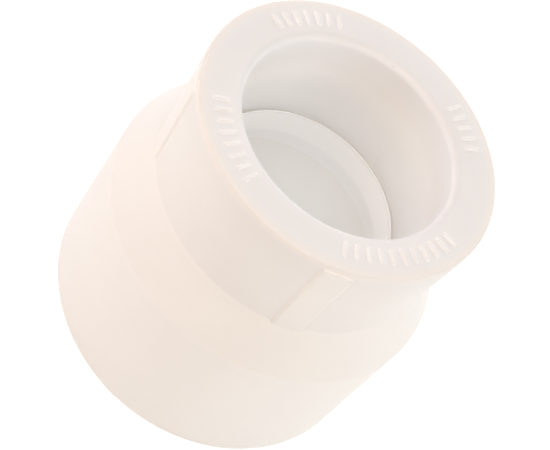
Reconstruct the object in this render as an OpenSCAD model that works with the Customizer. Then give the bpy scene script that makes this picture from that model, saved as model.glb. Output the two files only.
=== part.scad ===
// Reducing coupling for socket-fusion plastic pressure pipe: a socket for the smaller
// pipe at the top, a stop ring and a cone below it, and a plain spigot at the bottom.
// The object is one hollow moulding. Each sub-part here is one region of that moulding,
// and neighbouring regions meet face to face. The origin is the centre of the spigot's
// end face, and +Z points up the common axis to the mouth of the socket.

/* [Spigot] */
// Outside diameter of the spigot, the same as the larger pipe
spigot_d = 63; // [62.5:0.1:63.6]
// Diameter of the waterway at the spigot's end, its widest place
spigot_bore_d = 42; // [41:0.5:46]
// Length of the spigot, end face to cone
spigot_length = 29.4; // [27.4:0.2:32]
// Height of the end ring that carries the rounded edges of the spigot
spigot_rim_height = 1.2; // [1:0.1:2]
// Radius of the rounded edges of the spigot's end
spigot_rim_round = 0.8; // [0.2:0.1:0.9]

/* [Cone] */
// Height of the cone between the spigot and the socket
cone_height = 8.8; // [7.4:0.2:12]

/* [Socket] */
// Diameter of the socket bore, which the smaller pipe is fused into
socket_bore_d = 38.8; // [38.7:0.1:39.3]
// Depth of the socket, mouth to stop ring
socket_depth = 20.7; // [20.5:0.1:21.5]
// Outside diameter of the socket at its mouth
socket_top_d = 54.6; // [53.6:0.1:56]
// Outside diameter of the socket where it meets the cone
socket_foot_d = 53; // [52:0.1:53]
// Outside height of the socket, cone to mouth
socket_height = 20; // [19:0.1:20.4]
// Height of the ring around the mouth that carries the rounded edges
socket_rim_height = 1.7; // [1.6:0.1:2.2]
// Radius of the rounded outer edge of the mouth
socket_rim_round = 0.4; // [0.3:0.1:0.8]
// Radius of the rounded inner edge of the mouth, which leads the pipe in
lead_in_round = 1.5; // [0.5:0.1:1.5]

/* [Stop ring] */
// Diameter of the throat at its top, inside the lip of the stop ring
throat_top_d = 36.6; // [36:0.1:36.8]
// Diameter of the throat at its narrowest place
throat_d = 35.2; // [34:0.1:35.8]
// Height from the narrowest place up to the lip
throat_length = 4.6; // [2:0.1:4.8]
// Depth of the groove between the lip and the socket wall
groove_depth = 1.2; // [0.4:0.1:1.5]
// Width of the groove
groove_width = 0.8; // [0.3:0.1:0.9]

/* [Alignment pads] */
// Width of each raised pad, along the curve of the socket
pad_width = 5.6; // [3:0.1:9]
// How far each pad stands out from the socket
pad_height = 0.35; // [0.2:0.05:0.6]
// Gap between the mouth and the top end of each pad
pad_gap = 1; // [0.9:0.1:1.5]

/* [Raised marks] */
// Radius of the middle of the marks on the end face
mark_radius = 23.3; // [22.7:0.1:24]
// Length of each mark, along the face's radius
mark_length = 3.2; // [1.3:0.1:3.4]
// Width of each mark
mark_width = 1; // [0.4:0.05:1.2]
// How far each mark stands up from the end face
mark_height = 0.3; // [0.15:0.05:0.5]
// Angle between neighbouring marks of a group
mark_pitch = 5.2; // [4:0.1:6]
// Angle from +X, or from the next axis round, to the middle of each group
mark_turn = 26; // [0:1:89]

/* [Hidden] */
$fn = 120;

// Sides of the round ends of a mark, and how far a cutting shape reaches past the
// surface it cuts
mark_sides = 24;
cut_margin = 0.1;

// How much narrower the groove behind the lip is at its floor, on its outer side, so
// that it draws from the mould
groove_draft = 0.1;

// Angles of the four sides about the axis, and the number of marks in each side's group
FRONT = -90;
RIGHT = 0;
BACK = 90;
LEFT = 180;
front_marks = 11;
right_marks = 5;
back_marks = 7;
left_marks = 8;

// Radii
spigot_r = spigot_d / 2;
waterway_r = spigot_bore_d / 2;
socket_r = socket_bore_d / 2;
top_r = socket_top_d / 2;
foot_r = socket_foot_d / 2;
throat_top_r = throat_top_d / 2;
throat_r = throat_d / 2;
lip_r = socket_r - groove_width;

// Heights, from the spigot's end face
cone_z = spigot_length;
foot_z = cone_z + cone_height;
face_z = foot_z + socket_height;
rim_z = face_z - socket_rim_height;
stop_z = face_z - socket_depth;
throat_z = stop_z - throat_length;
groove_z = stop_z - groove_depth;

// The socket and the regions below it meet on a shallow cone, from the crease outside
// the foot of the socket to the root of its bore
function seam_z(r) = stop_z + (foot_z - stop_z) * (r - socket_r) / (foot_r - socket_r);

// Radius of the waterway where the spigot meets the cone. It widens evenly from the
// throat to the spigot's end ring
waterway_taper = (waterway_r - throat_r) / (throat_z - spigot_rim_height);
waterway_top_r = throat_r + waterway_taper * (throat_z - cone_z);

// Slopes of the socket's outside and of the cone, as radius over height
socket_draft = (top_r - foot_r) / (rim_z - foot_z);
cone_slope = (spigot_r - foot_r) / cone_height;

// Heights of a pad's top end, on the rim ring, and of its foot, where its outer face
// runs out on the cone
pad_top_z = face_z - pad_gap;
pad_foot_z = foot_z - pad_height / (cone_slope + socket_draft);
pad_angle = pad_width / foot_r * 180 / PI;

body_colour = [0.94, 0.9, 0.86];
face_colour = [0.92, 0.88, 0.86];
pad_colour = [0.96, 0.93, 0.89];
mark_colour = [0.97, 0.93, 0.9];

// What is cut off an outer corner at [r, z] to round it. up is 1 for a top corner
// and -1 for a bottom one, and out is 1 for the outside and -1 for the bore.
module corner_cut(r, z, radius, out, up) {
    translate([r - out * radius, z - up * radius])
        scale([out, up])
            difference() {
                square(radius + cut_margin);
                circle(radius);
            }
}

// A ring of rectangular section between two radii and two heights, as a profile
module ring_profile(inner_r, outer_r, low_z, high_z) {
    translate([inner_r, low_z])
        square([outer_r - inner_r, high_z - low_z]);
}

// Plain end ring of the spigot, rounded at both edges
module spigot_rim() {
    color(body_colour)
        rotate_extrude()
            difference() {
                ring_profile(waterway_r, spigot_r, 0, spigot_rim_height);
                corner_cut(spigot_r, 0, spigot_rim_round, 1, -1);
                corner_cut(waterway_r, 0, spigot_rim_round, -1, -1);
            }
}

// Straight wall of the spigot, which goes into the larger socket, round the widening
// waterway
module spigot() {
    color(body_colour)
        rotate_extrude()
            polygon([
                [waterway_r, spigot_rim_height],
                [spigot_r, spigot_rim_height],
                [spigot_r, cone_z],
                [waterway_top_r, cone_z]
            ]);
}

// Outer wall between the spigot and the foot of the socket
module reducing_cone() {
    color(body_colour)
        rotate_extrude()
            polygon([
                [waterway_r, cone_z],
                [spigot_r, cone_z],
                [foot_r, foot_z],
                [waterway_r, seam_z(waterway_r)]
            ]);
}

// Inner land that stops the smaller pipe: a lip with a groove behind it for the melted
// bead, and a throat that narrows from the lip and then widens towards the spigot
module stop_ring() {
    color(face_colour)
        rotate_extrude()
            polygon([
                [waterway_top_r, cone_z],
                [waterway_r, cone_z],
                [waterway_r, seam_z(waterway_r)],
                [socket_r, stop_z],
                [socket_r - groove_draft, groove_z],
                [lip_r, groove_z],
                [lip_r, stop_z],
                [throat_top_r, stop_z],
                [throat_r, throat_z]
            ]);
}

// Drafted wall of the socket around its straight bore
module socket_barrel() {
    color(body_colour)
        rotate_extrude()
            polygon([
                [socket_r, stop_z],
                [foot_r, foot_z],
                [top_r, rim_z],
                [socket_r, rim_z]
            ]);
}

// End ring of the socket: the flat face, its rounded outer edge and the lead-in
module socket_rim() {
    color(face_colour)
        rotate_extrude()
            difference() {
                ring_profile(socket_r, top_r, rim_z, face_z);
                corner_cut(top_r, face_z, socket_rim_round, 1, 1);
                corner_cut(socket_r, face_z, lead_in_round, -1, 1);
            }
}

// One raised pad along the socket and its rim, at an angle about the axis
module pad(side) {
    color(pad_colour)
        rotate(side - pad_angle / 2)
            rotate_extrude(angle = pad_angle)
                polygon([
                    [top_r, pad_top_z],
                    [top_r, rim_z],
                    [foot_r, foot_z],
                    [foot_r + cone_slope * (foot_z - pad_foot_z), pad_foot_z],
                    [top_r + pad_height, rim_z],
                    [top_r + pad_height, pad_top_z]
                ]);
}

// One round-ended mark on the end face, at an angle about the axis
module mark(angle) {
    straight = mark_length - mark_width;
    rotate(angle)
        translate([mark_radius, 0, face_z])
            linear_extrude(mark_height)
                union() {
                    square([straight, mark_width], center = true);
                    for (end = [-1, 1])
                        translate([end * straight / 2, 0])
                            circle(d = mark_width, $fn = mark_sides);
                }
}

// A row of marks on one side of the end face
module mark_group(side, count) {
    color(mark_colour)
        for (i = [0:count - 1])
            mark(side + mark_turn + mark_pitch * (i - (count - 1) / 2));
}

spigot_rim();
spigot();
reducing_cone();
stop_ring();
socket_barrel();
socket_rim();
pad(FRONT);  // pad_front
pad(RIGHT);  // pad_right
pad(BACK);  // pad_back
pad(LEFT);  // pad_left
mark_group(FRONT, front_marks);  // marks_front
mark_group(RIGHT, right_marks);  // marks_right
mark_group(BACK, back_marks);  // marks_back
mark_group(LEFT, left_marks);  // marks_left
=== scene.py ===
import math

import bmesh
import bpy
from mathutils import Matrix, Vector


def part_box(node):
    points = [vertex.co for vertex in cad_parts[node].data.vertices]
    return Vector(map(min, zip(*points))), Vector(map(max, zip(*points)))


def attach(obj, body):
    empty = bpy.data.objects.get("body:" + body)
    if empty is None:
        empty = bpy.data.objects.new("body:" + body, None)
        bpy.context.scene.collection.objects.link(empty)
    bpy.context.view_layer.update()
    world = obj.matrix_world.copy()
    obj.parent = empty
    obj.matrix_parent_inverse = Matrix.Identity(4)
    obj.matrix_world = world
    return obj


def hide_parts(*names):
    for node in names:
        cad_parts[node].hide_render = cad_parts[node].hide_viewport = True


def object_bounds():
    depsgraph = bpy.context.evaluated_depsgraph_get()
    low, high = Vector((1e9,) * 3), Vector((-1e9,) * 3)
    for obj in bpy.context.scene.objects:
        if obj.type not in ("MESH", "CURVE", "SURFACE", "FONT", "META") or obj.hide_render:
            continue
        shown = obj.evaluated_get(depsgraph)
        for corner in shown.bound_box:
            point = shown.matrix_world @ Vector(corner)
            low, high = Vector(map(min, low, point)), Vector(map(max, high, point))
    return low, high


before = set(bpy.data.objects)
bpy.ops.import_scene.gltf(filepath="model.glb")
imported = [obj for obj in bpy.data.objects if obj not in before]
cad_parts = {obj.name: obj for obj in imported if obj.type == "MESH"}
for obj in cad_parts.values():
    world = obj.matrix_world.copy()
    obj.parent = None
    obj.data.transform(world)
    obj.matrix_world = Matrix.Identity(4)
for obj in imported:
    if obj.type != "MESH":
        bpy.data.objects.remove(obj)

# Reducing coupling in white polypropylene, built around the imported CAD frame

MM = 0.001
CAD_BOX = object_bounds()

# How finely the turned pieces are made: sides round the axis, the angle of a step along
# a rounded edge, and the length of one along a straight, in mm
SEGMENTS = 288
ARC_STEP = math.radians(9)
STRAIGHT_STEP = 1.6

# Heights or radii of CAD points that differ by less than this count as the same, in mm,
# and points closer than this count as one, in metres
LEVEL = 0.02
SAME_POINT = 1e-6

# Edges that turn by more than this are shaded sharp
SHARP = math.radians(24)

# Radii of the edges and fillets, in millimetres
SPIGOT_EDGE = 0.8
CONE_EDGE = 0.9
FOOT_FILLET = 0.6
MOUTH_EDGE = 0.4
LEAD_IN_EDGE = 1.5
GROOVE_FILLET = 0.18
LIP_EDGE = 0.14
THROAT_EDGE = 2.0

# Second material slot of every piece, for the faces where regions of the moulding meet
BURIED_INDEX = 1

# How far the edges of the pads and marks start below the surface that they stand on,
# and how far below it their flat bases lie, in mm
SINK = 0.05
PAD_BASE = 4 * SINK
MARK_BASE = 3 * SINK

# Width of a pad's sloping sides and the radius of its corners, in mm
PAD_RUN = 0.5
PAD_CORNER = 0.8

# Size of a mark, and the width of its sloping sides, in mm
MARK_LENGTH = 3.2
MARK_WIDTH = 1.0
MARK_RUN = 0.42


# ------------------------------------------------------------------ reading the frame

def cad_ring(node, height, side):
    """Radius in mm of a CAD node's inner or outer corner at a height in mm."""
    radii = [math.hypot(v.co.x, v.co.y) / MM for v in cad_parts[node].data.vertices
             if abs(v.co.z / MM - height) < LEVEL]
    return min(radii) if side == "in" else max(radii)


def cad_heights(node):
    """Lowest and highest height of a CAD node, in mm."""
    low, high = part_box(node)
    return low.z / MM, high.z / MM


END_Z, SPIGOT_RIM_Z = cad_heights("spigot_rim")
CONE_Z, FOOT_Z = cad_heights("reducing_cone")
RIM_Z, FACE_Z = cad_heights("socket_rim")
STOP_Z = cad_heights("socket_barrel")[0]
SEAM_Z = cad_heights("stop_ring")[1]

SPIGOT_R = cad_ring("spigot", CONE_Z, "out")
WATERWAY_R = cad_ring("spigot", SPIGOT_RIM_Z, "in")
WATERWAY_TOP_R = cad_ring("spigot", CONE_Z, "in")
FOOT_R = cad_ring("reducing_cone", FOOT_Z, "out")
TOP_R = cad_ring("socket_rim", RIM_Z, "out")
SOCKET_R = cad_ring("socket_rim", RIM_Z, "in")
THROAT_TOP_R = cad_ring("stop_ring", STOP_Z, "in")
RING_CORNERS = {(math.hypot(v.co.x, v.co.y) / MM, v.co.z / MM)
                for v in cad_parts["stop_ring"].data.vertices}
THROAT_R, THROAT_Z = min(RING_CORNERS)
GROOVE_Z = min(z for r, z in RING_CORNERS if THROAT_TOP_R + LEVEL < r < SOCKET_R - LEVEL)
GROOVE_R = cad_ring("stop_ring", GROOVE_Z, "out")
LIP_R = cad_ring("stop_ring", GROOVE_Z, "in")
PAD_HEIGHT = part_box("pad_right")[1].x / MM - TOP_R


def socket_outside(z):
    """Radius of the socket's drafted outside at a height, in mm."""
    return FOOT_R + (TOP_R - FOOT_R) * (min(z, RIM_Z) - FOOT_Z) / (RIM_Z - FOOT_Z)


# ------------------------------------------------------------------------ the outline

# The section of the whole moulding, once round from the bottom of the waterway:
# [label, radius, height, edge radius], in mm
OUTLINE = [
    ["end_in", WATERWAY_R, END_Z, SPIGOT_EDGE],
    ["end_out", SPIGOT_R, END_Z, SPIGOT_EDGE],
    ["spigot_rim_out", SPIGOT_R, SPIGOT_RIM_Z, 0],
    ["cone_out", SPIGOT_R, CONE_Z, CONE_EDGE],
    ["foot_out", FOOT_R, FOOT_Z, FOOT_FILLET],
    ["rim_out", TOP_R, RIM_Z, 0],
    ["face_out", TOP_R, FACE_Z, MOUTH_EDGE],
    ["face_in", SOCKET_R, FACE_Z, LEAD_IN_EDGE],
    ["rim_in", SOCKET_R, RIM_Z, 0],
    ["root", SOCKET_R, STOP_Z, 0],
    ["groove_out", GROOVE_R, GROOVE_Z, GROOVE_FILLET],
    ["groove_in", LIP_R, GROOVE_Z, GROOVE_FILLET],
    ["lip_out", LIP_R, STOP_Z, LIP_EDGE],
    ["lip_in", THROAT_TOP_R, STOP_Z, LIP_EDGE],
    ["throat", THROAT_R, THROAT_Z, THROAT_EDGE],
    ["waterway_top", WATERWAY_TOP_R, CONE_Z, 0],
    ["spigot_rim_in", WATERWAY_R, SPIGOT_RIM_Z, 0],
]
# Buried corners, where three regions of the moulding meet
SEAM = Vector((WATERWAY_R, SEAM_Z))
RING_FOOT = Vector((WATERWAY_R, CONE_Z))


def rounded_corner(before, at, after, radius):
    """Points along the arc that rounds the corner at `at`, or the corner itself."""
    if radius == 0:
        return [at]
    to_before = (before - at).normalized()
    to_after = (after - at).normalized()
    half = to_before.angle(to_after) / 2
    reach = radius / math.tan(half)
    centre = at + (to_before + to_after).normalized() * radius / math.sin(half)
    start = at + to_before * reach - centre
    end = at + to_after * reach - centre
    sweep = start.angle_signed(end)
    steps = max(2, 2 * math.ceil(abs(sweep) / ARC_STEP / 2))
    return [centre + Matrix.Rotation(-sweep * i / steps, 2) @ start
            for i in range(steps + 1)]


def smooth_outline():
    """The rounded outline as points, and the index of each label's middle point."""
    corners = [Vector((r, z)) for _, r, z, _ in OUTLINE]
    points, index = [], {}
    for i, (label, _, _, radius) in enumerate(OUTLINE):
        after = corners[(i + 1) % len(corners)]
        arc = rounded_corner(corners[i - 1], corners[i], after, radius)
        index[label] = len(points) + len(arc) // 2
        points += arc
    return points, index


POINTS, INDEX = smooth_outline()


def stretch(first, last):
    """The part of the outline from one label to another."""
    i, j = INDEX[first], INDEX[last]
    return POINTS[i:j + 1] if i <= j else POINTS[i:] + POINTS[:j + 1]


def closed_section(runs):
    """The closed section made of runs of the outline, with no straight side longer than
    STRAIGHT_STEP, and for each side whether it is buried: it joins one run to the next."""
    corners = [(p, p is run[-1]) for run in runs for p in run]
    points, buried = [], []
    for i, (a, joins) in enumerate(corners):
        b = corners[(i + 1) % len(corners)][0]
        steps = max(1, math.ceil((b - a).length / STRAIGHT_STEP))
        points += [a.lerp(b, k / steps) for k in range(steps)]
        buried += [joins] * steps
    return points, buried


# ----------------------------------------------------------------------- mesh helpers

def add_piece(name, mesh, material, *nodes):
    """Put a finished mesh in the scene as a piece that stands for CAD nodes."""
    piece = bpy.data.objects.new(name, mesh)
    bpy.context.scene.collection.objects.link(piece)
    mesh.materials.append(material)
    mesh.materials.append(BURIED)
    mesh.shade_smooth()
    mesh.set_sharp_from_angle(angle=SHARP)
    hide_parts(*nodes)
    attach(piece, "root")
    return piece


def turned(name, *runs):
    """A section made of runs of the outline, turned about Z into a mesh in metres."""
    ring, buried = closed_section(runs)
    vertices = [(p.x * MM * math.cos(a), p.x * MM * math.sin(a), p.y * MM)
                for a in (math.tau * s / SEGMENTS for s in range(SEGMENTS))
                for p in ring]
    n = len(ring)
    faces = []
    for s in range(SEGMENTS):
        here, there = s * n, (s + 1) % SEGMENTS * n
        for k in range(n):
            m = (k + 1) % n
            faces.append((here + k, there + k, there + m, here + m))
    mesh = bpy.data.meshes.new(name)
    mesh.from_pydata(vertices, [], faces)
    indices = [BURIED_INDEX if hidden else 0 for hidden in buried]
    mesh.polygons.foreach_set("material_index", indices * SEGMENTS)
    return mesh


def graded(low, high, run, fine, coarse):
    """Places from low to high, in fine steps for a run at each end and coarse between."""
    ends = [run * i / fine for i in range(fine + 1)]
    steps = max(1, math.ceil((high - low - 2 * run) / coarse))
    middle = [low + run + (high - low - 2 * run) * i / steps for i in range(1, steps)]
    return [low + e for e in ends] + middle + [high - e for e in reversed(ends)]


def swell(x, y, length, width, corner, run):
    """How far a soft-edged boss has risen at a point, 0 at its outline to 1 on its top."""
    over = Vector((abs(x) - length / 2 + corner, abs(y) - width / 2 + corner))
    beyond = Vector((max(over.x, 0), max(over.y, 0))).length
    inside = corner - beyond - min(max(over.x, over.y), 0)
    t = min(max(inside / run, 0), 1)
    return t * t * (3 - 2 * t)


def boss(along, across, height_at, depth):
    """A closed bmesh in mm with a flat base at -depth: X runs along and Y across, and
    height_at(x, y) is the height of the top. The base and the sides are buried."""
    bm = bmesh.new()
    top = [[bm.verts.new((x, y, height_at(x, y))) for y in across] for x in along]
    base = [[bm.verts.new((x, y, -depth)) for y in across] for x in along]
    for i in range(len(along) - 1):
        for j in range(len(across) - 1):
            bm.faces.new((top[i][j], top[i + 1][j], top[i + 1][j + 1], top[i][j + 1]))
            bm.faces.new((base[i][j], base[i][j + 1], base[i + 1][j + 1],
                          base[i + 1][j])).material_index = BURIED_INDEX
    around = ([(i, 0) for i in range(len(along) - 1)]
              + [(len(along) - 1, j) for j in range(len(across) - 1)]
              + [(i, len(across) - 1) for i in range(len(along) - 1, 0, -1)]
              + [(0, j) for j in range(len(across) - 1, 0, -1)])
    for (i, j), (k, m) in zip(around, around[1:] + around[:1]):
        side = bm.faces.new((base[i][j], base[k][m], top[k][m], top[i][j]))
        side.material_index = BURIED_INDEX
    return bm


def finished(bm, name):
    """A mesh made from a bmesh, with its faces turned outwards."""
    bmesh.ops.recalc_face_normals(bm, faces=bm.faces)
    mesh = bpy.data.meshes.new(name)
    bm.to_mesh(mesh)
    bm.free()
    return mesh


# -------------------------------------------------------------------------- materials

# Share of the light that passes into the plastic where it meets the air, and where one
# region of the moulding meets the next
LET_IN = 0.15
LET_ACROSS = 0.7

# Tints of the plastic: outside, on the end face and in the bore, in the throat, and on
# the raised pads and marks. The cream outside and on the pads is warmer than the plastic's
# white as painted warm light, and the throat's whiter tint is painted light
WARM_LIT_CREAM = (0.94, 0.918, 0.876)
WHITE = (0.94, 0.925, 0.905)
THROAT_PAINTED_LIGHT_WHITE = (0.98, 0.976, 0.972)
PAD_WARM_LIT_CREAM = (0.93, 0.908, 0.868)
MARK_WHITE = (0.92, 0.905, 0.885)

# What the tint turns to: painted light, a warm glow on the thin rim and a lighter band
# inside the mouth, and painted shade, greyer deep in the bore and in the groove behind the
# lip
RIM_PAINTED_GLOW = (0.965, 0.926, 0.873)
MOUTH_PAINTED_LIGHT = (0.985, 0.985, 0.985)
BORE_SHADE = (0.877, 0.877, 0.872)
GROOVE_SHADE = (0.84, 0.82, 0.78)

# Where each of these begins and is complete, in mm: outside a radius (+) or inside it
# (-), and above a height (+) or below it (-)
RIM_FROM_TOP_R = (-2.3, -0.3)
RIM_FROM_FACE_Z = (-1.7, -0.7)
BORE_FROM_SOCKET_R = (2, 0.2)
BORE_FROM_WATERWAY_R = (0.6, 0.1)
MOUTH_FROM_FACE_Z = (-7, -1.6)
LEAD_IN_FROM_FACE_Z = (0, -1.3)
WALL_FROM_STOP_Z = (-0.6, 0)
DEEP_FROM_FACE_Z = (-7, -14)
GROOVE_FROM_STOP_Z = (0, -0.8)
GROOVE_FROM_GROOVE_Z = (-0.3, -0.1)
GROOVE_FROM_LIP_R = (0, 0.1)

# The plastic's finish. A scale is how many clouds, grains or speck cells fit in a metre
PLASTIC_IOR = 1.49
ROUGHNESS_SPREAD = 0.05

# The clouds: where in the noise they fade in, and their darkest tone
CLOUD_SCALE = 70
CLOUD_DETAIL = 3
CLOUD_SPAN = (0.3, 0.7)
CLOUD_GREY = (0.985, 0.985, 0.985)

# The grain, with its depth in mm
GRAIN_SCALE = 2600
GRAIN_DETAIL = 2
GRAIN_STRENGTH = 0.08
GRAIN_DEPTH = 0.02

# The specks: the radii of the dark core and of the soft edge as shares of a cell, the
# share of cells without one, and what a core multiplies the colour by
SPECK_SCALE = 140
SPECK_CORE = 0.004
SPECK_EDGE = 0.032
SPECK_FREE = 0.66
SPECK_STAIN = (0.8, 0.74, 0.68)


class Wiring:
    """The node tree of one material, and the few kinds of node that it repeats."""

    def __init__(self, name):
        self.material = bpy.data.materials.new(name)
        self.material.use_nodes = True
        self.tree = self.material.node_tree
        self.shader = self.tree.nodes["Principled BSDF"]
        self.place = self.add("ShaderNodeTexCoord").outputs["Object"]

    def feed(self, socket, source):
        """Give a socket a fixed value, or link it to another node's output."""
        if isinstance(source, bpy.types.NodeSocket):
            self.tree.links.new(source, socket)
        else:
            socket.default_value = source

    def add(self, kind, sources=None, **settings):
        """A new node with its settings, and what goes into its sockets."""
        node = self.tree.nodes.new(kind)
        for setting, value in settings.items():
            setattr(node, setting, value)
        for socket, source in (sources or {}).items():
            self.feed(node.inputs[socket], source)
        return node

    def ramp(self, value, zero, span):
        """A factor that runs smoothly from 0 to 1 over a span measured from zero, in mm."""
        return self.add("ShaderNodeMapRange", {
            "Value": value,
            "From Min": (zero + span[0]) * MM,
            "From Max": (zero + span[1]) * MM,
        }, interpolation_type="SMOOTHSTEP").outputs["Result"]

    def math(self, operation, first, second):
        """Two values combined into one."""
        return self.add("ShaderNodeMath", {0: first, 1: second},
                        operation=operation).outputs["Value"]

    def both(self, first, second):
        """Two factors multiplied."""
        return self.math("MULTIPLY", first, second)

    def mix(self, factor, colour, other, blend="MIX"):
        """A colour changed to or multiplied by another, as far as a factor says."""
        return self.add("ShaderNodeMix", {"Factor": factor, "A": colour, "B": other},
                        data_type="RGBA", blend_type=blend).outputs["Result"]


def opaque(colour):
    """A colour with full alpha, as a colour socket takes it."""
    return (*colour, 1)


def from_axis(wiring):
    """How far a place is from the axis, and how high it is, in metres."""
    flat = wiring.add("ShaderNodeVectorMath", {0: wiring.place, 1: (1, 1, 0)},
                      operation="MULTIPLY").outputs["Vector"]
    radius = wiring.add("ShaderNodeVectorMath", {0: flat},
                        operation="LENGTH").outputs["Value"]
    height = wiring.add("ShaderNodeSeparateXYZ", {"Vector": wiring.place}).outputs["Z"]
    return radius, height


def tinted(wiring, tint, bore_tint):
    """The tint outside and inside the bore, with painted light and shade: a warm painted
    glow on the thin rim of the mouth, a painted lighter band on the bore's wall inside the
    mouth, and painted shade, greyer deep in the bore and in the groove. Also returns how
    near a place is to the bore's side of the mouth."""
    ramp, both, mix = wiring.ramp, wiring.both, wiring.mix
    radius, height = from_axis(wiring)

    # Painted light: a warm glow painted on the outer edge of the mouth's rim
    outer = both(ramp(radius, TOP_R, RIM_FROM_TOP_R), ramp(height, FACE_Z, RIM_FROM_FACE_Z))
    bore = ramp(radius, SOCKET_R, BORE_FROM_SOCKET_R)
    # Painted light: the bore's wall is painted lighter near the mouth, fading out on the
    # lead-in
    near = both(ramp(height, FACE_Z, MOUTH_FROM_FACE_Z),
                ramp(height, FACE_Z, LEAD_IN_FROM_FACE_Z))
    mouth = both(bore, near)
    wall = both(bore, ramp(height, STOP_Z, WALL_FROM_STOP_Z))
    # Painted shade: the bore's wall is painted greyer with depth
    deep = both(wall, ramp(height, FACE_Z, DEEP_FROM_FACE_Z))
    # Painted shade: the groove behind the lip is painted darker
    sunk = both(ramp(height, STOP_Z, GROOVE_FROM_STOP_Z),
                ramp(height, GROOVE_Z, GROOVE_FROM_GROOVE_Z))
    groove = both(sunk, both(bore, ramp(radius, LIP_R, GROOVE_FROM_LIP_R)))
    inside = ramp(radius, WATERWAY_R, BORE_FROM_WATERWAY_R)

    colour = mix(inside, opaque(tint), opaque(bore_tint))
    for factor, other in ((outer, RIM_PAINTED_GLOW), (mouth, MOUTH_PAINTED_LIGHT),
                          (groove, GROOVE_SHADE), (deep, BORE_SHADE)):
        colour = mix(factor, colour, opaque(other))
    return colour, mouth


def clouded(wiring, colour):
    """The colour with faint flow clouds. Also returns the clouds."""
    clouds = wiring.add("ShaderNodeTexNoise", {
        "Vector": wiring.place, "Scale": CLOUD_SCALE, "Detail": CLOUD_DETAIL,
    }).outputs["Fac"]
    tones = wiring.add("ShaderNodeValToRGB", {"Fac": clouds})
    dark, light = tones.color_ramp.elements
    dark.position, light.position = CLOUD_SPAN
    dark.color = opaque(CLOUD_GREY)
    light.color = (1, 1, 1, 1)
    return wiring.mix(1, colour, tones.outputs["Color"], "MULTIPLY"), clouds


def speckled(wiring, colour):
    """The colour with a small dark speck in about a third of the cells of a loose grid."""
    cells = wiring.add("ShaderNodeTexVoronoi", {
        "Vector": wiring.place, "Scale": SPECK_SCALE,
    })
    edge = wiring.add("ShaderNodeMapRange", {
        "Value": cells.outputs["Distance"],
        "From Min": SPECK_CORE,
        "From Max": SPECK_EDGE,
        "To Min": 1,
        "To Max": 0,
    }).outputs["Result"]
    parts = wiring.add("ShaderNodeSeparateColor", {"Color": cells.outputs["Color"]})
    chosen = wiring.math("GREATER_THAN", parts.outputs["Red"], SPECK_FREE)
    return wiring.mix(wiring.both(edge, chosen), colour, opaque(SPECK_STAIN), "MULTIPLY")


def grained(wiring):
    """The shading normal with fine moulding grain."""
    grain = wiring.add("ShaderNodeTexNoise", {
        "Vector": wiring.place, "Scale": GRAIN_SCALE, "Detail": GRAIN_DETAIL,
    }).outputs["Fac"]
    return wiring.add("ShaderNodeBump", {
        "Strength": GRAIN_STRENGTH, "Distance": GRAIN_DEPTH * MM, "Height": grain,
    }).outputs["Normal"]


def light_through(wiring, colour, mouth, let_in):
    """The shader with a translucent one mixed in: by let_in where light enters, less
    near the mouth, and fully where light inside the plastic leaves it."""
    through = wiring.add("ShaderNodeBsdfTranslucent", {"Color": colour}).outputs["BSDF"]
    entering = wiring.add("ShaderNodeMapRange", {
        "Value": mouth, "To Min": let_in, "To Max": 0,
    }).outputs["Result"]
    leaving = wiring.add("ShaderNodeNewGeometry").outputs["Backfacing"]
    passing = wiring.math("MAXIMUM", leaving, entering)
    return wiring.add("ShaderNodeMixShader", {
        "Fac": passing, 1: wiring.shader.outputs["BSDF"], 2: through,
    }).outputs["Shader"]


def polypropylene(name, tint, bore_tint, roughness, let_in, sheen=0.5):
    """Satin white polypropylene with flow clouds, grain and a few specks. let_in is the
    share of the light that enters it."""
    wiring = Wiring(name)
    shader = wiring.shader
    shader.inputs["IOR"].default_value = PLASTIC_IOR
    shader.inputs["Specular IOR Level"].default_value = sheen

    colour, mouth = tinted(wiring, tint, bore_tint)
    colour, clouds = clouded(wiring, colour)
    colour = speckled(wiring, colour)
    gloss = wiring.add("ShaderNodeMapRange", {
        "Value": clouds,
        "To Min": roughness - ROUGHNESS_SPREAD,
        "To Max": roughness + ROUGHNESS_SPREAD,
    }).outputs["Result"]
    wiring.feed(shader.inputs["Base Color"], colour)
    wiring.feed(shader.inputs["Roughness"], gloss)
    wiring.feed(shader.inputs["Normal"], grained(wiring))
    surface = wiring.tree.nodes["Material Output"].inputs["Surface"]
    wiring.feed(surface, light_through(wiring, colour, mouth, let_in))
    return wiring.material


# The cream outside is painted warm light on the plastic's white
BODY = polypropylene("polypropylene_outside", WARM_LIT_CREAM, WHITE, roughness=0.42, let_in=LET_IN)
FACE = polypropylene("polypropylene_face", WHITE, WHITE, roughness=0.6, let_in=LET_IN,
                     sheen=0.25)
# The throat's whiter tint is painted light
INSIDE = polypropylene("polypropylene_inside", WHITE, THROAT_PAINTED_LIGHT_WHITE, roughness=0.45,
                       let_in=LET_IN / 3)
MARKS = polypropylene("polypropylene_marks", MARK_WHITE, MARK_WHITE, roughness=0.42,
                      let_in=LET_IN)
# The pads' cream is painted warm light too
PADS = polypropylene("polypropylene_pads", PAD_WARM_LIT_CREAM, PAD_WARM_LIT_CREAM, roughness=0.42,
                     let_in=LET_IN)
BURIED = polypropylene("polypropylene_buried", WHITE, WHITE, roughness=0.5,
                       let_in=LET_ACROSS)


# ------------------------------------------------------------------------ the regions

def make_spigot_rim():
    """End ring of the spigot with its two rounded edges."""
    mesh = turned("spigot_rim", stretch("spigot_rim_in", "spigot_rim_out"))
    return add_piece("spigot_rim_piece", mesh, BODY, "spigot_rim")


def make_spigot():
    """Straight wall of the spigot."""
    mesh = turned("spigot", stretch("spigot_rim_out", "cone_out"),
                  stretch("waterway_top", "spigot_rim_in"))
    return add_piece("spigot_piece", mesh, BODY, "spigot")


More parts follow.
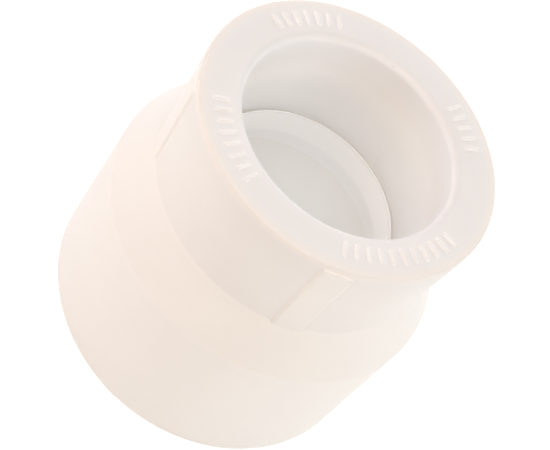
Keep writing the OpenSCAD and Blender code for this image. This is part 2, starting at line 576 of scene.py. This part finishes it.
def make_reducing_cone():
    """Cone between the spigot and the foot of the socket."""
    mesh = turned("reducing_cone", stretch("cone_out", "foot_out"), [SEAM], [RING_FOOT])
    return add_piece("reducing_cone_piece", mesh, BODY, "reducing_cone")


def make_stop_ring():
    """Groove, lip and throat."""
    mesh = turned("stop_ring", [SEAM], stretch("root", "waterway_top"), [RING_FOOT])
    return add_piece("stop_ring_piece", mesh, INSIDE, "stop_ring")


def make_socket_barrel():
    """Drafted wall of the socket and its straight bore."""
    mesh = turned("socket_barrel", stretch("foot_out", "rim_out"),
                  stretch("rim_in", "root"), [SEAM])
    return add_piece("socket_barrel_piece", mesh, BODY, "socket_barrel")


def make_socket_rim():
    """End face of the socket between its rounded edges."""
    mesh = turned("socket_rim", stretch("rim_out", "rim_in"))
    return add_piece("socket_rim_piece", mesh, FACE, "socket_rim")


def make_pad(node):
    """One raised alignment pad, bent round the socket where its CAD node is. Its foot
    runs out on the cone, so only its top end and sides slope."""
    low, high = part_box(node)
    middle = (low + high) / 2
    turn = math.atan2(middle.y, middle.x)
    foot, top = low.z / MM, high.z / MM
    chord = max(high.x - low.x, high.y - low.y) / MM
    width = 2 * FOOT_R * math.asin(chord / 2 / (FOOT_R + PAD_HEIGHT))
    # The top half of a boss twice as long, so that the foot end keeps its full height
    length = 2 * (top - foot)

    def height_at(x, y):
        rise = swell(x, y, length, width, PAD_CORNER, PAD_RUN)
        return (PAD_HEIGHT + SINK) * rise - SINK

    along = graded(foot - top, 0, PAD_RUN, fine=5, coarse=STRAIGHT_STEP)
    across = graded(-width / 2, width / 2, PAD_RUN, fine=6, coarse=0.5)
    bm = boss(along, across, lambda x, y: height_at(x + length / 2, y), PAD_BASE)
    for v in bm.verts:
        z = top + v.co.x
        angle = turn + v.co.y / FOOT_R
        r = socket_outside(z) + v.co.z
        v.co = Vector((r * math.cos(angle), r * math.sin(angle), z)) * MM
    return add_piece(f"{node}_piece", finished(bm, node), PADS, node)


def islands(node):
    """Middle points of a CAD node's separate solids, in metres."""
    bm = bmesh.new()
    bm.from_mesh(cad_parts[node].data)
    bmesh.ops.remove_doubles(bm, verts=bm.verts, dist=SAME_POINT)
    left, found = set(bm.verts), []
    while left:
        heap = [left.pop()]
        group = []
        while heap:
            v = heap.pop()
            group.append(v.co.copy())
            for e in v.link_edges:
                other = e.other_vert(v)
                if other in left:
                    left.remove(other)
                    heap.append(other)
        low = Vector([min(c[i] for c in group) for i in range(3)])
        high = Vector([max(c[i] for c in group) for i in range(3)])
        found.append((low + high) / 2)
    bm.free()
    return sorted(found, key=tuple)


def make_marks(node):
    """One group of raised round-ended bars on the end face."""
    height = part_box(node)[1].z / MM - FACE_Z

    def height_at(x, y):
        rise = swell(x, y, MARK_LENGTH, MARK_WIDTH, MARK_WIDTH / 2, MARK_RUN)
        return (height + SINK) * rise - SINK

    half_length, half_width = MARK_LENGTH / 2, MARK_WIDTH / 2
    along = graded(-half_length, half_length, half_width, fine=6, coarse=0.6)
    across = graded(-half_width, half_width, MARK_RUN, fine=5, coarse=MARK_WIDTH)
    whole = bmesh.new()
    for middle in islands(node):
        bm = boss(along, across, height_at, MARK_BASE)
        radius = math.hypot(middle.x, middle.y)
        turn = Matrix.Rotation(math.atan2(middle.y, middle.x), 4, "Z")
        bm.transform(turn @ Matrix.Translation((radius, 0, FACE_Z * MM))
                     @ Matrix.Scale(MM, 4))
        part = bpy.data.meshes.new("bar")
        bm.to_mesh(part)
        whole.from_mesh(part)
        bpy.data.meshes.remove(part)
        bm.free()
    return add_piece(f"{node}_piece", finished(whole, node), MARKS, node)


# ----------------------------------------------------------------- studio and camera

# The floor, in metres. It lies just below the part, so that they do not touch
FLOOR_RADIUS = 4
FLOOR_SIDES = 96
FLOOR_GAP = 0.00002
FLOOR_COLOUR = (0.9, 0.9, 0.9)
FLOOR_GLOW = (0.93, 0.97, 1)
FLOOR_GLOW_STRENGTH = 0.297

# The camera: where it looks from, in degrees and metres, and how high it aims, as a share
# of the part's height. The lens and sensor are in mm
VIEW_AZIMUTH = -27
VIEW_ELEVATION = 48.8
VIEW_DISTANCE = 0.2505
VIEW_ROLL = 40.4
VIEW_AIM = 0.483
LENS = 91.6
SENSOR_WIDTH = 36
CLIP_START = 0.01

# How far off and how wide all the lights are, in metres
LIGHT_DISTANCE = 0.7
LIGHT_SIZE = 0.4


def floor_material():
    """Plain matt white, faintly glowing like a light table."""
    material = bpy.data.materials.new("studio_floor")
    material.use_nodes = True
    shader = material.node_tree.nodes["Principled BSDF"]
    shader.inputs["Base Color"].default_value = opaque(FLOOR_COLOUR)
    shader.inputs["Roughness"].default_value = 0.9
    shader.inputs["Specular IOR Level"].default_value = 0.2
    shader.inputs["Emission Color"].default_value = opaque(FLOOR_GLOW)
    shader.inputs["Emission Strength"].default_value = FLOOR_GLOW_STRENGTH
    return material


def make_floor():
    """A wide plain floor at the foot of the part."""
    height = END_Z * MM - FLOOR_GAP
    turns = [math.tau * i / FLOOR_SIDES for i in range(FLOOR_SIDES)]
    ring = [(FLOOR_RADIUS * math.cos(a), FLOOR_RADIUS * math.sin(a), height) for a in turns]
    mesh = bpy.data.meshes.new("floor")
    mesh.from_pydata(ring, [], [tuple(range(FLOOR_SIDES))])
    mesh.materials.append(floor_material())
    floor = bpy.data.objects.new("floor", mesh)
    bpy.context.scene.collection.objects.link(floor)


def direction(azimuth, elevation):
    """Unit vector from the part to where it is seen or lit from, 0 being the front (-Y)."""
    a, e = math.radians(azimuth - 90), math.radians(elevation)
    return Vector((math.cos(e) * math.cos(a), math.cos(e) * math.sin(a), math.sin(e)))


def aimed(eye, target, roll=0):
    """Placement of a camera or light at eye, looking at target."""
    back = (eye - target).normalized()
    turn = back.to_track_quat("Z", "Y").to_matrix().to_4x4()
    return Matrix.Translation(eye) @ turn @ Matrix.Rotation(roll, 4, "Z")


def make_camera():
    """Looks down on the mouth from the photograph's side, leaning over to the left."""
    low, high = CAD_BOX
    target = Vector((0, 0, VIEW_AIM * (high[2] - low[2])))
    camera = bpy.data.cameras.new("camera")
    camera.lens = LENS
    camera.sensor_width = SENSOR_WIDTH
    camera.clip_start = CLIP_START
    holder = bpy.data.objects.new("camera", camera)
    eye = target + direction(VIEW_AZIMUTH, VIEW_ELEVATION) * VIEW_DISTANCE
    holder.matrix_world = aimed(eye, target, math.radians(VIEW_ROLL))
    bpy.context.scene.collection.objects.link(holder)
    bpy.context.scene.camera = holder


def area_light(name, azimuth, elevation, watts, tint=(1, 1, 1)):
    """A square soft light aimed at the middle of the part."""
    light = bpy.data.lights.new(name, "AREA")
    light.shape = "SQUARE"
    light.size = LIGHT_SIZE
    light.energy = watts
    light.color = tint
    holder = bpy.data.objects.new(name, light)
    target = Vector((0, 0, FACE_Z * MM / 2))
    eye = target + direction(azimuth, elevation) * LIGHT_DISTANCE
    holder.matrix_world = aimed(eye, target)
    bpy.context.scene.collection.objects.link(holder)


def make_lights():
    """Large soft lights round the part, strongest above and behind it, in a dark room."""
    world = bpy.data.worlds.new("dark_room")
    world.color = (0, 0, 0)
    bpy.context.scene.world = world
    area_light("overhead", azimuth=-27, elevation=62, watts=2.4)
    area_light("behind", azimuth=153, elevation=8, watts=2.34)
    area_light("right", azimuth=63, elevation=35, watts=2, tint=(1, 1, 0.98))
    area_light("left", azimuth=243, elevation=35, watts=2.07, tint=(0.9, 0.9, 1))
    area_light("behind_right", azimuth=108, elevation=8, watts=1.13)
    area_light("behind_left", azimuth=198, elevation=8, watts=1.13)
    area_light("front_left", azimuth=288, elevation=35, watts=0.81, tint=(1, 0.5, 0.1))
    area_light("front_right", azimuth=18, elevation=35, watts=0.25, tint=(1, 0.4, 0.2))
    view = bpy.context.scene.view_settings
    view.view_transform = "Standard"
    view.look = "None"


def main():
    make_camera()
    make_spigot_rim()
    make_spigot()
    make_reducing_cone()
    make_stop_ring()
    make_socket_barrel()
    make_socket_rim()
    for side in ("front", "right", "back", "left"):
        make_pad(f"pad_{side}")
        make_marks(f"marks_{side}")
    make_floor()
    make_lights()


main()
